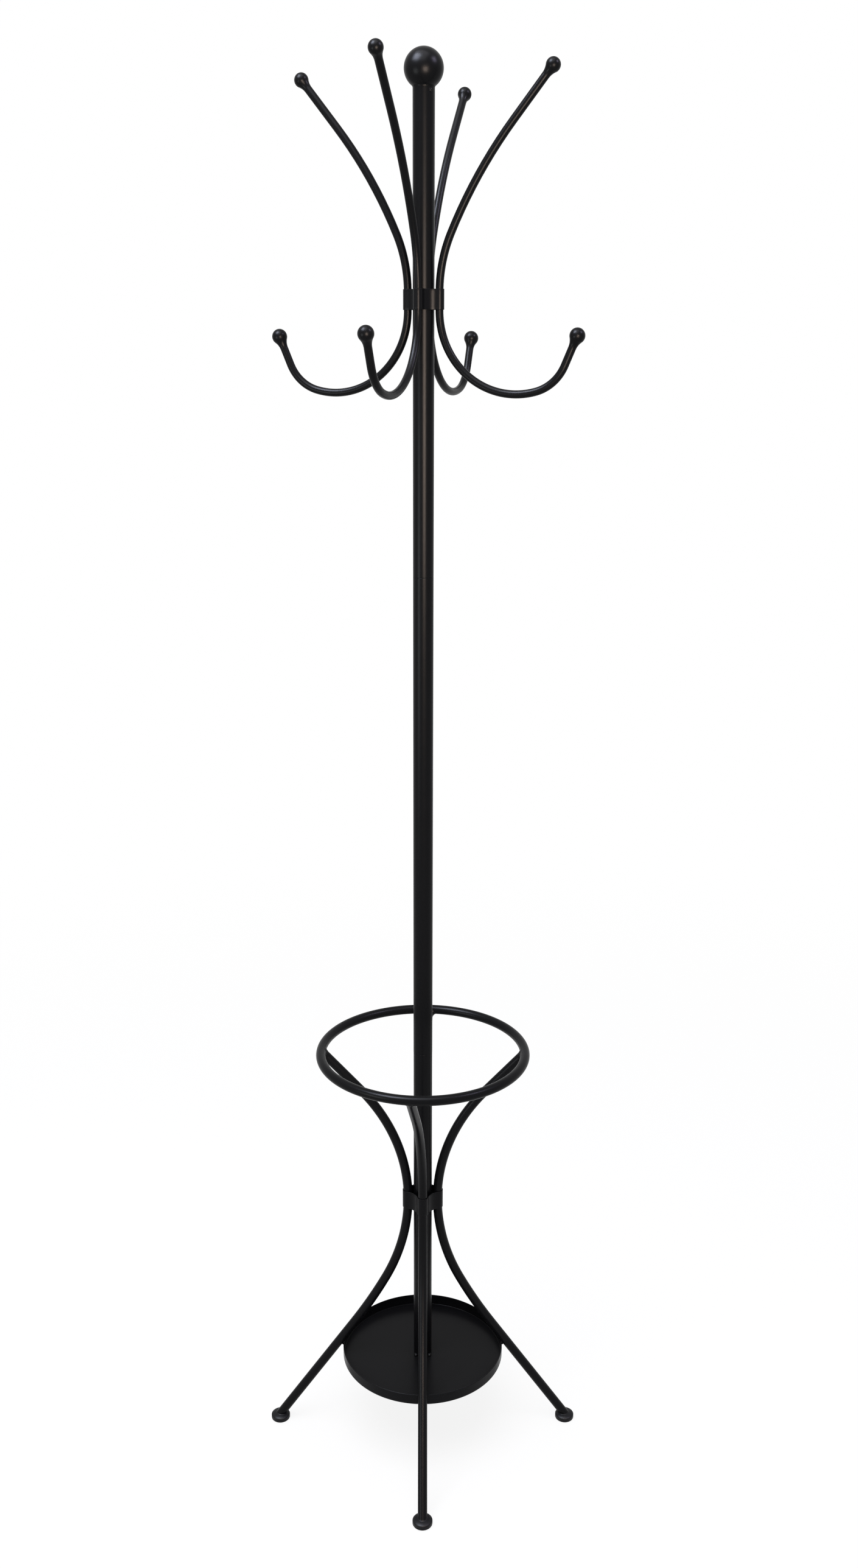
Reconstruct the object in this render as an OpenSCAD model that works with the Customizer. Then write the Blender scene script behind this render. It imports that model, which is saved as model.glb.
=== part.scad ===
// Standing coat rack with an umbrella ring and a drip tray.
// Round steel bar and tube, welded and powder coated. Millimetres, +Z up.
// The origin is on the floor, under the post.

/* [Post] */
// Outside diameter of the upper and middle tubes
post_d = 25.8; // [22:0.1:28]
// Outside diameter of the lower tube
lower_post_d = 25.6; // [21:0.1:27]
// Wall of all three tubes
post_wall = 1.2; // [1:0.1:2]
// Height of the screw joint between the lower and middle tubes
lower_joint_z = 593; // [540:1:660]
// Height of the screw joint between the middle and upper tubes
upper_joint_z = 1243; // [1150:1:1350]
// Bevel on the tube ends that meet at a joint
joint_bevel = 0.3; // [0.1:0.05:0.5]

/* [Screw joints] */
// Outside diameter of the screw thread
stud_d = 10; // [8:1:12]
// Length of screw below each joint
stud_l = 22; // [16:1:28]
// Length of each plug inside its tube
plug_l = 28; // [24:1:36]
// Running clearance round the thread, on the radius
thread_gap = 0.05; // [0.03:0.01:0.08]

/* [Finial] */
// Diameter of the ball on top of the post
finial_d = 46; // [36:0.2:60]
// Height of the ball's centre
finial_z = 1824; // [1700:0.5:1950]
// Radius of the weld's hollow face under the ball
finial_weld_r = 4; // [3:0.5:7]

/* [Hooks] */
// Diameter of the four hook rods
rod_d = 9.5; // [8:0.1:10]
// Distance from the post's axis to each rod's axis in the band
rod_centre_r = 20; // [19:0.1:23]
// Turn of the hooks from the legs, clockwise seen from above
hook_turn = 19.35; // [0:0.05:90]
// Radius of the low hook's big bend
cradle_r = 95.3; // [80:0.1:110]
// Angle of the low hook's big bend
cradle_angle = 105; // [90:1:115]
// Radius of the low hook's last bend
lip_r = 52; // [35:1:70]
// Angle of the low hook's last bend
lip_angle = 52; // [30:1:65]
// Straight end of the low hook, to the centre of its ball
lip_straight = 36; // [25:1:50]
// Radius of the high arm's first bend
arm_bend_r = 158.3; // [120:0.1:200]
// Angle of the high arm's first bend
arm_bend_angle = 24.1; // [15:0.1:30]
// Radius of the high arm's long curve
arm_curve_r = 520; // [400:5:700]
// Angle of the high arm's long curve
arm_curve_angle = 15.5; // [8:0.1:20]
// Straight end of the high arm, to the centre of its ball
arm_straight = 70; // [40:1:100]

/* [Ball tips] */
// Diameter of the balls on the high arms
upper_tip_d = 17; // [14:0.1:22]
// Diameter of the balls on the low hooks
lower_tip_d = 18.6; // [14:0.1:22]
// Radius of the hollow neck under each ball
tip_neck_r = 18; // [8:1:24]
// Wall of the neck's thin edge
tip_lip = 0.4; // [0.3:0.05:0.8]

/* [Bands] */
// Thickness of the steel strip
strip_t = 0.8; // [0.8:0.1:2]
// Height of the hook band's lower edge
hook_band_z = 1561; // [1450:1:1650]
// Width of the hook band's strip
hook_band_h = 23.5; // [18:0.5:30]
// Height of the leg band's lower edge
leg_band_z = 354; // [320:1:400]
// Width of the leg band's strip
leg_band_h = 26.5; // [22:0.5:32]
// Gap between a band and the bars and the post in it
strip_gap = 0.1; // [0.08:0.01:0.2]
// Distance from the post's axis to the inner face of the leg band's hollows
leg_band_neck_r = 17.3; // [15:0.1:20]

/* [Legs] */
// Diameter of the leg bar
leg_d = 12.7; // [10:0.1:12.8]
// Distance from the post's axis to each leg's axis in the band
leg_centre_r = 20.7; // [20:0.1:24]
// Straight length of each leg at the ring
leg_top_straight = 79; // [40:1:90]
// Radius of the bend below the middle of the band
leg_low_bend_r = 272.5; // [200:0.5:285]
// Angle of that bend
leg_low_bend_angle = 28; // [20:1:30]
// Radius of the long curve that follows it
leg_low_curve_r = 700; // [400:10:1200]
// Sideways turn of the front, right, back and left legs above the band
leg_turns = [8, 1.5, 4, 1.5]; // [0:0.5:10]

/* [Umbrella ring] */
// Diameter of the ring's bar
ring_d = 13; // [13:0.1:15]
// Radius of the ring's centre line
ring_r = 139.5; // [120:0.1:160]
// Height of the ring's centre line
ring_z = 592.3; // [560:0.1:640]

/* [Drip tray] */
// Height of the tray's underside
tray_z = 112.5; // [100:0.5:150]
// Height of the tray from its underside to its rim
tray_h = 16.5; // [12:0.5:25]
// Thickness of the tray's sheet
tray_t = 1.2; // [0.8:0.1:2]
// Outside radius of the corner between floor and rim
tray_corner_r = 3.5; // [2.5:0.1:5]
// Gap between the rim's top edge and each leg, which a weld bridges
tray_gap = 0.8; // [0.1:0.1:1.5]

/* [Feet] */
// Diameter of each foot
foot_d = 27; // [24:0.5:32]
// Height of each foot
foot_h = 10.5; // [10:0.5:13]
// Height at which the foot's dome starts
foot_side_z = 6; // [4:0.1:7]
// Radius of the foot's bottom edge
foot_edge_r = 2.2; // [1:0.1:3]
// Distance from the post's axis to the centre of each foot
foot_centre_r = 209.5; // [180:0.5:240]
// Sole left under the leg's end in the foot
foot_sole = 2.5; // [2:0.1:3]

/* [Welds] */
// Thickness of the weld bead round each leg at the ring
ring_bead = 2.2; // [1.5:0.1:3]
// Length of that bead along the leg, from the ring's surface
ring_bead_l = 4.5; // [3:0.5:6]
// Radius of the bead between each leg and the tray's rim
tray_bead_r = 2.8; // [2:0.1:3.5]
// Length of that bead along the rim
tray_bead_l = 9; // [6:0.5:11]
// Radius of the two tack welds at the foot of the post
tack_r = 3; // [1.5:0.1:3.5]
// Angle of each tack weld from the front of the post
tack_turn = 45; // [30:1:90]

/* [Hidden] */

coat = "#1d1d20";     // black powder coat
bare = "#8a8d90";     // joint hardware left bare
moulded = "#141416";  // the feet

fit_gap = 0.05;       // between pieces that are welded or pressed together
over = 1;             // how far a cutter runs past what it cuts
arc_steps = 12;       // chords in each round stretch of an outline
draw_down = 0.04;     // how much thinner every other stretch of a bar is
lap = 0.5;            // how far those stretches run into their neighbours
neck_bite = 0.3;      // how far a tip's neck runs into its ball
$fn = 64;
bend_fn = 360;        // a long bend is drawn finely enough to look round

post_bore = post_d - 2 * post_wall;
lower_bore = lower_post_d - 2 * post_wall;
// The tube's inner edge touches the ball from below
post_top_z = finial_z - sqrt(pow(finial_d / 2, 2) - pow(post_bore / 2, 2)) - fit_gap;

// The big bend starts just under the band and the arm's bend ends just inside it
cradle_z = hook_band_z - 1;
arm_z = hook_band_z + hook_band_h - 3;
low_hook = [[cradle_r, cradle_angle], [lip_r, lip_angle], [0, lip_straight]];
high_arm = [
    [0, arm_z - cradle_z], [arm_bend_r, arm_bend_angle],
    [arm_curve_r, arm_curve_angle], [0, arm_straight]
];

// A leg's two bends start half way up the band. The upper one is followed by a straight
// end on the ring's centre line.
waist_z = leg_band_z + leg_band_h / 2;
ring_rise = ring_z - waist_z;
leg_top_bend_r = top_bend_r(ring_r - leg_centre_r);
leg_band_gap = pow(leg_band_h / 2, 2) / (2 * min(leg_top_bend_r, leg_low_bend_r)) + strip_gap;

// Below the band the leg bends, runs on in a long curve and then straight at the middle
// of its foot. leg_left is how far outwards and on the foot lies from the end of the bend,
// seen along the bend's end.
leg_aim_z = 0.75 * foot_h;
leg_left = turned([
    foot_centre_r - leg_centre_r - leg_low_bend_r * (1 - cos(leg_low_bend_angle)),
    waist_z - leg_aim_z - leg_low_bend_r * sin(leg_low_bend_angle)
], leg_low_bend_angle);
leg_low_curve_angle = bend_to(leg_left.x, leg_left.y, leg_low_curve_r);
leg_low_angle = leg_low_bend_angle + leg_low_curve_angle;
leg_end_z = foot_sole + leg_d / 2 * sin(leg_low_angle);
leg_curve_end_z = waist_z - leg_low_bend_r * sin(leg_low_bend_angle)
    - leg_low_curve_r * (sin(leg_low_angle) - sin(leg_low_bend_angle));
leg_down = [
    [leg_low_bend_r, leg_low_bend_angle], [leg_low_curve_r, leg_low_curve_angle],
    [0, (leg_curve_end_z - leg_end_z) / cos(leg_low_angle)]
];

// The rim's top edge lies just inside of each leg
tray_top_z = tray_z + tray_h;
tray_r = foot_centre_r - (tray_top_z - leg_aim_z) * tan(leg_low_angle)
    - leg_d / 2 / cos(leg_low_angle) - tray_gap;
tray_floor_z = tray_z + tray_t;

// Angle of a bend of radius r, tangent to an upright, whose straight end then
// passes through a point that lies dx outwards and dz along the upright
function bend_to(dx, dz, r) =
    let (far = sqrt(pow(dx - r, 2) + dz * dz - r * r))
    180 + atan2(-dz, dx - r) - atan2(far, r);

// Radius of the bend, tangent to an upright, whose straight end rises to the ring's height
// over a reach
function top_bend_r(reach) =
    (reach * reach + ring_rise * ring_rise - leg_top_straight * leg_top_straight) / (2 * reach);

// Path of leg i above the band. The reach allows for the leg's sideways turn.
function leg_up(i) =
    let (
        turn = leg_turns[i],
        reach = sqrt(pow(ring_r, 2) - pow(leg_centre_r * sin(turn), 2)) - leg_centre_r * cos(turn),
        r = top_bend_r(reach)
    )
    [[r, bend_to(reach, ring_rise, r)], [0, leg_top_straight]];

// A point turned about the Z axis
function turned(p, a) = [p.x * cos(a) - p.y * sin(a), p.x * sin(a) + p.y * cos(a)];

// Points on an arc about c, from angle a to angle b
function arc(c, r, a, b) =
    [for (i = [0:arc_steps]) let (t = a + (b - a) * i / arc_steps) c + r * [cos(t), sin(t)]];

// Plan of a band: lobes round four bars at centre_r and hollows between them.
// lobe is the middle radius of the strip round a bar and neck its distance from the
// post's axis in a hollow; off moves the outline out from the strip's middle line.
function clasp(centre_r, lobe, neck, off) =
    let (
        rise = lobe - neck,
        w = (centre_r * centre_r - rise * rise) / (sqrt(2) * centre_r + 2 * rise),
        hollow = [w, w] / sqrt(2),
        tilt = atan2(hollow.y, hollow.x - centre_r),
        quarter = concat(
            arc([centre_r, 0], lobe + off, -tilt, tilt),
            arc(hollow, w - neck - off, tilt + 180, 270 - tilt))
    )
    [for (k = [0:3]) each [for (p = quarter) turned(p, 90 * k)]];

// Hollow face of radius r between a ball and the stem below it, from stem to ball.
// bite is how far its end lies inside the ball.
function neck_face(ball_r, stem_r, r, bite = 0) =
    let (
        x = stem_r + r,
        z = -sqrt(pow(ball_r + r - bite, 2) - x * x)
    )
    arc([x, z], r, 180, atan2(-z, -x));

// Places its children at the end of a path that starts upwards and bends towards +X.
// A step is [bend radius, angle], or [0, length] where it is straight.
module at_end(path, i = 0) {
    if (i == len(path)) children();
    else {
        r = path[i][0];
        a = r > 0 ? path[i][1] : 0;
        run = r > 0 ? [r * (1 - cos(a)), 0, r * sin(a)] : [0, 0, path[i][1]];
        translate(run) rotate([0, a, 0]) at_end(path, i + 1) children();
    }
}

// One stretch of a bar, run on by lap0 before its start and lap1 past its end
module stretch(d, step, lap0, lap1) {
    r = step[0];
    if (r > 0) {
        a0 = lap0 / r * 180 / PI;
        a1 = lap1 / r * 180 / PI;
        translate([r, 0, 0]) rotate([90, 0, 0]) rotate([0, 0, 180 - step[1] - a1])
            rotate_extrude(angle = step[1] + a0 + a1, $fn = bend_fn)
                translate([r, 0]) circle(d = d, $fn = 48);
    } else {
        translate([0, 0, -lap0]) cylinder(d = d, h = step[1] + lap0 + lap1, $fn = 48);
    }
}

// Round bar along such a path. Every other stretch is drawn down a little and laps
// into its neighbours; first says whether that starts with stretch 0 or 1.
module bar(d, path, first) {
    last = len(path) - 1;
    for (i = [0:last]) {
        slim = i % 2 == first;
        before = [for (k = [0:1:i - 1]) path[k]];
        at_end(before)
            stretch(slim ? d - draw_down : d, path[i], slim ? lap : 0, slim && i < last ? lap : 0);
    }
}

// Tube from z0 to z1 with a small bevel on the ends that are named
module tube(d, bore, z0, z1, bevel0, bevel1) {
    rotate_extrude() polygon([
        [bore / 2, z0], [d / 2 - bevel0, z0], [d / 2, z0 + bevel0],
        [d / 2, z1 - bevel1], [d / 2 - bevel1, z1], [bore / 2, z1]
    ]);
}

// Plug with a threaded hole, in the top end of a tube
module joint_socket(bore, z) {
    color(bare) difference() {
        translate([0, 0, z - plug_l]) cylinder(d = bore - 2 * fit_gap, h = plug_l - fit_gap);
        translate([0, 0, z - plug_l - over])
            cylinder(d = stud_d + 2 * thread_gap, h = plug_l + 2 * over);
    }
}

// Plug with a screw, in the bottom end of a tube
module joint_stud(bore, z) {
    color(bare) {
        translate([0, 0, z + fit_gap]) cylinder(d = bore - 2 * fit_gap, h = plug_l);
        translate([0, 0, z - stud_l]) cylinder(d = stud_d, h = stud_l + plug_l / 2);
    }
}

// Strip bent round four bars and pressed in between them, to neck_r from the post's axis
module band(z, h, centre_r, bar_d, bar_gap, neck_r) {
    lobe = bar_d / 2 + bar_gap + strip_t / 2;
    neck = neck_r + strip_t / 2;
    color(coat) difference() {
        translate([0, 0, z]) linear_extrude(h) polygon(clasp(centre_r, lobe, neck, strip_t / 2));
        translate([0, 0, z - over]) linear_extrude(h + 2 * over)
            polygon(clasp(centre_r, lobe, neck, -strip_t / 2));
    }
}

// Turns its children from +X to a side: 0 front, 1 right, 2 back, 3 left
module leg_side(i) {
    rotate([0, 0, 90 * i - 90]) children();
}

module hook_side(i) {
    rotate([0, 0, 90 * i - 90 - hook_turn]) translate([rod_centre_r, 0, cradle_z]) children();
}

module hook_rod(i) {
    color(coat) hook_side(i) {
        bar(rod_d, high_arm, 1);
        mirror([0, 0, 1]) bar(rod_d, low_hook, 0);
    }
}

// Ball of diameter d with a flared neck and a blind hole that the rod's end sits in
module tip(d) {
    neck = neck_face(d / 2, rod_d / 2 + fit_gap + tip_lip, tip_neck_r, neck_bite);
    inner = rod_d / 4;
    color(coat) difference() {
        union() {
            sphere(d = d);
            rotate_extrude() polygon(concat([[inner, neck[0].y]], neck, [[inner, -d / 4]]));
        }
        translate([0, 0, neck[0].y - over])
            cylinder(d = rod_d + 2 * fit_gap, h = over - neck[0].y + fit_gap);
    }
}

module upper_tip(i) {
    hook_side(i) at_end(high_arm) tip(upper_tip_d);
}

module lower_tip(i) {
    hook_side(i) mirror([0, 0, 1]) at_end(low_hook) tip(lower_tip_d);
}

// Solid ring of the given bar diameter on the ring's centre line
module ring(d) {
    translate([0, 0, ring_z]) rotate_extrude(angle = 360, $fn = bend_fn)
        translate([ring_r, 0]) circle(d = d, $fn = 48);
}

// Places its children at the start of leg i's upper bend, turned with it
module leg_start(i) {
    translate([leg_centre_r, 0, waist_z]) rotate([0, 0, -leg_turns[i]]) children();
}

module leg_bar(i) {
    leg_start(i) bar(leg_d, leg_up(i), 0);
    translate([leg_centre_r, 0, waist_z]) mirror([0, 0, 1]) bar(leg_d, leg_down, 1);
}

module leg(i) {
    color(coat) leg_side(i) difference() {
        leg_bar(i);
        ring(ring_d + 2 * fit_gap);
    }
}

// Bun-shaped foot with a slanting blind hole for the leg's end
module foot(i) {
    half = foot_d / 2;
    dome = [for (k = [0:arc_steps]) let (t = 90 * k / arc_steps)
        [half * cos(t), foot_side_z + (foot_h - foot_side_z) * sin(t)]];
    edge = arc([half - foot_edge_r, foot_edge_r], foot_edge_r, -90, 0);
    color(moulded) leg_side(i) difference() {
        translate([foot_centre_r, 0, 0]) rotate_extrude() polygon(concat([[0, 0]], edge, dome));
        translate([foot_centre_r, 0, leg_aim_z]) rotate([0, 180 - leg_low_angle, 0])
            translate([0, 0, -foot_d])
                cylinder(d = leg_d + 2 * fit_gap,
                    h = foot_d + (leg_aim_z - leg_end_z) / cos(leg_low_angle) + fit_gap);
    }
}

module lower_post() {
    color(coat) tube(lower_post_d, lower_bore, tray_floor_z, lower_joint_z, 0, joint_bevel);
}

module middle_post() {
    color(coat) tube(post_d, post_bore, lower_joint_z, upper_joint_z, joint_bevel, joint_bevel);
}

module upper_post() {
    color(coat) tube(post_d, post_bore, upper_joint_z, post_top_z, joint_bevel, 0);
}

module lower_joint_socket() { joint_socket(lower_bore, lower_joint_z); }
module lower_joint_stud() { joint_stud(post_bore, lower_joint_z); }
module upper_joint_socket() { joint_socket(post_bore, upper_joint_z); }
module upper_joint_stud() { joint_stud(post_bore, upper_joint_z); }

module finial_ball() {
    color(coat) translate([0, 0, finial_z]) sphere(d = finial_d, $fn = 96);
}

// Weld that fills the corner between the ball and the post's end
module finial_weld() {
    inner = post_d / 2 + fit_gap;
    ball_r = finial_d / 2 + fit_gap;
    face = neck_face(ball_r, inner + 2 * fit_gap, finial_weld_r);
    edge = face[len(face) - 1];
    back = arc([0, 0], ball_r, atan2(edge.y, edge.x), -acos(inner / ball_r));
    color(coat) translate([0, 0, finial_z]) rotate_extrude()
        polygon(concat([[inner, face[0].y]], face, [for (i = [1:arc_steps]) back[i]]));
}

module hook_band() {
    rotate([0, 0, -hook_turn])
        band(hook_band_z, hook_band_h, rod_centre_r, rod_d, strip_gap, post_d / 2 + strip_gap);
}

module leg_band() {
    band(leg_band_z, leg_band_h, leg_centre_r, leg_d, leg_band_gap, leg_band_neck_r);
}

module umbrella_ring() {
    color(coat) ring(ring_d);
}

// One bead round each leg where it meets the ring
module ring_welds() {
    start = ring_d / 4;
    middle = ring_d / 2;
    finish = ring_d / 2 + ring_bead_l;
    for (i = [0:3]) color(coat) leg_side(i) difference() {
        leg_start(i) at_end(leg_up(i)) mirror([0, 0, 1])
            rotate_extrude() polygon([
                [0, start], [leg_d / 2, start], [leg_d / 2 + ring_bead, middle],
                [leg_d / 2 + 0.15 * ring_bead, finish], [0, finish]
            ]);
        ring(ring_d + 2 * fit_gap);
        leg_start(i) bar(leg_d + 2 * fit_gap, leg_up(i), 0);
    }
}

module drip_tray() {
    inner = tray_r - tray_t;
    bend = tray_corner_r - tray_t;
    outside = arc([tray_r - tray_corner_r, tray_z + tray_corner_r], tray_corner_r, -90, 0);
    inside = arc([inner - bend, tray_floor_z + bend], bend, 0, -90);
    color(coat) rotate_extrude($fn = 180) polygon(concat(
        [[0, tray_z]], outside, [[tray_r, tray_top_z], [inner, tray_top_z]],
        inside, [[0, tray_floor_z]]));
}

// One bead in the corner between each leg and the outside of the rim
module tray_welds() {
    for (i = [0:3]) color(coat) leg_side(i) difference() {
        translate([tray_r + tray_gap + tray_bead_r / 3, tray_bead_l / 2, tray_top_z - tray_bead_r])
            rotate([90, 0, 0]) cylinder(r = tray_bead_r, h = tray_bead_l);
        translate([0, 0, tray_z]) cylinder(r = tray_r + fit_gap, h = 2 * tray_h, $fn = 180);
        leg_bar(i);
    }
}

// Two tack welds between the post and the tray's floor
module post_base_welds() {
    for (side = [-1, 1]) color(coat) difference() {
        rotate([0, 0, side * tack_turn])
            translate([0, -lower_post_d / 2 - tack_r / 4, tray_floor_z + tack_r / 4])
            sphere(r = tack_r);
        translate([0, 0, tray_z]) cylinder(d = lower_post_d + 2 * fit_gap, h = tray_h);
        translate([0, 0, tray_floor_z - tack_r - over])
            cylinder(d = post_d + 4 * tack_r, h = tack_r + over + fit_gap);
    }
}

module hook_rod_front() { hook_rod(0); }
module hook_rod_right() { hook_rod(1); }
module hook_rod_back() { hook_rod(2); }
module hook_rod_left() { hook_rod(3); }
module upper_tip_front() { upper_tip(0); }
module upper_tip_right() { upper_tip(1); }
module upper_tip_back() { upper_tip(2); }
module upper_tip_left() { upper_tip(3); }
module lower_tip_front() { lower_tip(0); }
module lower_tip_right() { lower_tip(1); }
module lower_tip_back() { lower_tip(2); }
module lower_tip_left() { lower_tip(3); }
module leg_front() { leg(0); }
module leg_right() { leg(1); }
module leg_back() { leg(2); }
module leg_left() { leg(3); }
module foot_front() { foot(0); }
module foot_right() { foot(1); }
module foot_back() { foot(2); }
module foot_left() { foot(3); }

lower_post();
middle_post();
upper_post();
lower_joint_socket();
lower_joint_stud();
upper_joint_socket();
upper_joint_stud();
finial_ball();
finial_weld();
hook_band();
hook_rod_front();
hook_rod_right();
hook_rod_back();
hook_rod_left();
upper_tip_front();
upper_tip_right();
upper_tip_back();
upper_tip_left();
lower_tip_front();
lower_tip_right();
lower_tip_back();
lower_tip_left();
umbrella_ring();
ring_welds();
leg_band();
leg_front();
leg_right();
leg_back();
leg_left();
drip_tray();
tray_welds();
post_base_welds();
foot_front();
foot_right();
foot_back();
foot_left();
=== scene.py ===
"""Looks of a standing coat rack: steel tube and round bar, welded up and powder coated black.

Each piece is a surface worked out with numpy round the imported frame, in metres, and stands
for one node of it. The frame gives places and diameters; the fields of each class hold
what the frame's boxes can't say, such as the radius of a bend.
"""

from __future__ import annotations

import logging
import math
from dataclasses import dataclass
from enum import Enum
from typing import Callable, Sequence

import bpy
import numpy as np
from mathutils import Matrix, Vector

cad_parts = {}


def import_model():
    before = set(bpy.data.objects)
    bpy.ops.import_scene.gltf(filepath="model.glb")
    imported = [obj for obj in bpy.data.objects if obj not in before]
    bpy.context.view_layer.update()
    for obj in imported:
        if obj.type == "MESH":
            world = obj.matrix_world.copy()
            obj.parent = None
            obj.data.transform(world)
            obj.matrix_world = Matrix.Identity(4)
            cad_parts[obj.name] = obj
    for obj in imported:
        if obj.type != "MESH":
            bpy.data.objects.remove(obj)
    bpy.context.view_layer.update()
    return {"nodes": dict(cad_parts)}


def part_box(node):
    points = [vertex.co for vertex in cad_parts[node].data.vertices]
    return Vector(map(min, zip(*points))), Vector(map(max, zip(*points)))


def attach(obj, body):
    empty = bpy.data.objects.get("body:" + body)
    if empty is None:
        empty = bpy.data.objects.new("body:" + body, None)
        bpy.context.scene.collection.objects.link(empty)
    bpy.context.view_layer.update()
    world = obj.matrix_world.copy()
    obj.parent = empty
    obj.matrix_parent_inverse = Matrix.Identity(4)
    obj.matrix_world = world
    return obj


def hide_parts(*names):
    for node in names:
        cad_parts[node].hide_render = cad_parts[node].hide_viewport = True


MM = 0.001
UP = np.array([0.0, 0.0, 1.0])
SHARP_ANGLE = math.radians(50)
WHITE = (1.0, 1.0, 1.0, 1.0)
RANGE = ("From Min", "From Max", "To Min", "To Max")
LOG = logging.getLogger("coat_rack")

# How finely the curves are cut: points on a small rounded edge, points round a bar, degrees
# of bend for each ring of a bar, and the fewest rings on a bend and on a straight stretch.
EDGE_POINTS = 5
BAR_POINTS = 48
RING_DEGREES = 1.5
BEND_RINGS = 6
STRAIGHT_RINGS = 4


# ---- names


class Side(Enum):
    """Side of the rack that a leg or hook points to, counted anticlockwise from the front."""

    FRONT = 0
    RIGHT = 1
    BACK = 2
    LEFT = 3

    @property
    def label(self) -> str:
        """Name of the side as the nodes spell it."""
        return self.name.lower()

    def azimuth(self, turn: float = 0.0) -> float:
        """Angle from +X of this side, in radians, less a clockwise turn."""
        return math.radians(90 * self.value - 90) - turn


class Body(Enum):
    """Bodies of the frame, one for each length of the screwed post."""

    BASE = "base"
    MIDDLE = "middle_section"
    TOP = "top_section"


class Slot(Enum):
    """Material slots of the rack."""

    COAT = "black_powder_coat"
    ZINC = "zinc_plated_steel"
    FEET = "moulded_feet"


# ---- surfaces


@dataclass
class Shell:
    """Closed surface: points, four-sided faces and the fans that close its poles."""

    points: np.ndarray
    quads: np.ndarray
    fans: np.ndarray

    def volume(self) -> float:
        """Signed volume by the divergence theorem.

        Returns:
            The volume, positive where the faces point outwards.
        """
        halves = np.vstack([self.quads[:, [0, 1, 2]], self.quads[:, [0, 2, 3]], self.fans])
        a, b, c = (self.points[halves[:, k]] for k in range(3))
        return float(np.einsum("ij,ij->", a, np.cross(b, c))) / 6

    def outward(self) -> Shell:
        """Turns the faces round where they point inwards.

        Returns:
            The same surface with every face pointing outwards.
        """
        if self.volume() >= 0:
            return self
        return Shell(self.points, self.quads[:, ::-1], self.fans[:, ::-1])


def skin(rings: np.ndarray, poles: np.ndarray | None = None) -> Shell:
    """Joins rings of points into a closed surface.

    Point j of ring i is joined to points j and j + 1 of ring i + 1. Without poles the last
    ring joins the first, as on a torus; with poles a fan closes each end.

    Args:
        rings: Points, shaped rings x points x 3.
        poles: Two points that close the first and the last ring, or None.

    Returns:
        The surface, with its faces outwards.
    """
    rows, cols = rings.shape[:2]
    index = np.arange(rows * cols).reshape(rows, cols)
    upper = index if poles is None else index[:-1]
    lower = np.roll(index, -1, axis=0) if poles is None else index[1:]
    quads = np.stack([upper, np.roll(upper, -1, 1), np.roll(lower, -1, 1), lower], -1)
    points = rings.reshape(-1, 3)
    fans = np.zeros((0, 3), int)
    if poles is not None:
        first, last = rows * cols, rows * cols + 1
        start, end = index[0], index[-1]
        fans = np.vstack([
            np.stack([np.full(cols, first), np.roll(start, -1), start], -1),
            np.stack([np.full(cols, last), end, np.roll(end, -1)], -1),
        ])
        points = np.vstack([points, poles])
    return Shell(points, quads.reshape(-1, 4), fans).outward()


def together(shells: Sequence[Shell]) -> Shell:
    """Puts several closed surfaces into one.

    Args:
        shells: The surfaces.

    Returns:
        One surface with all their points and faces.
    """
    starts = np.cumsum([0] + [len(s.points) for s in shells])
    return Shell(
        np.vstack([s.points for s in shells]),
        np.vstack([s.quads + k for s, k in zip(shells, starts)]),
        np.vstack([s.fans + k for s, k in zip(shells, starts)]),
    )


def arc(centre: Sequence[float], radius: float, start: float, end: float, count: int) -> np.ndarray:
    """Points on a circle's arc, shaped count x 2, from one angle in degrees to another."""
    angle = np.radians(np.linspace(start, end, count))
    return np.asarray(centre) + radius * np.stack([np.cos(angle), np.sin(angle)], -1)


def wall(radius: float, low: float, high: float, near: float = 0.5 * MM) -> np.ndarray:
    """Two points of a straight wall, close to its rounded ends, that keep its shading even."""
    return np.array([[radius, low + near], [radius, high - near]])


def level(azimuth: float) -> np.ndarray:
    """Level unit direction at an angle from +X."""
    return np.array([math.cos(azimuth), math.sin(azimuth), 0])


def full_turn(count: int) -> np.ndarray:
    """Angles evenly spaced round a full turn, from 0."""
    return np.linspace(0, 2 * math.pi, count, endpoint=False)


@dataclass(frozen=True)
class Axes:
    """Place and three directions that carry a profile into the frame."""

    origin: np.ndarray
    across: np.ndarray
    side: np.ndarray
    along: np.ndarray

    @staticmethod
    def upright(height: float = 0.0) -> Axes:
        """Axes of the post, at a height."""
        return Axes(UP * height, np.array([1.0, 0, 0]), np.array([0, 1.0, 0]), UP)

    @staticmethod
    def pointing(origin: np.ndarray, along: np.ndarray) -> Axes:
        """Axes at a point, with the third one along a given direction.

        Args:
            origin: The point.
            along: The direction, which isn't upright.

        Returns:
            The axes.
        """
        along = along / np.linalg.norm(along)
        side = np.cross(UP, along)
        side = side / np.linalg.norm(side)
        return Axes(origin, np.cross(side, along), side, along)

    def moved(self, shift: np.ndarray) -> Axes:
        """The same axes with their origin moved."""
        return Axes(self.origin + shift, self.across, self.side, self.along)

    def spokes(self, angle: np.ndarray) -> np.ndarray:
        """Unit directions square to the third axis, at angles from the first."""
        return np.outer(np.cos(angle), self.across) + np.outer(np.sin(angle), self.side)


def revolved(profile: np.ndarray, axes: Axes, around: int) -> np.ndarray:
    """Rings of a profile turned about an axis: r, z goes to r cos v, r sin v, z at angle v."""
    radius, height = profile[:, 0, None, None], profile[:, 1, None, None]
    return axes.origin + radius * axes.spokes(full_turn(around)) + height * axes.along


def turned_solid(profile: np.ndarray, axes: Axes, around: int) -> Shell:
    """Solid of revolution whose profile of radii and heights starts and ends on the axis."""
    poles = axes.origin + profile[[0, -1], 1][:, None] * axes.along
    return skin(revolved(profile[1:-1], axes, around), poles)


# ---- bent bar


@dataclass(frozen=True)
class Bend:
    """Bend of a bar: radius of its centre line and angle in degrees."""

    radius: float
    degrees: float


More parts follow.
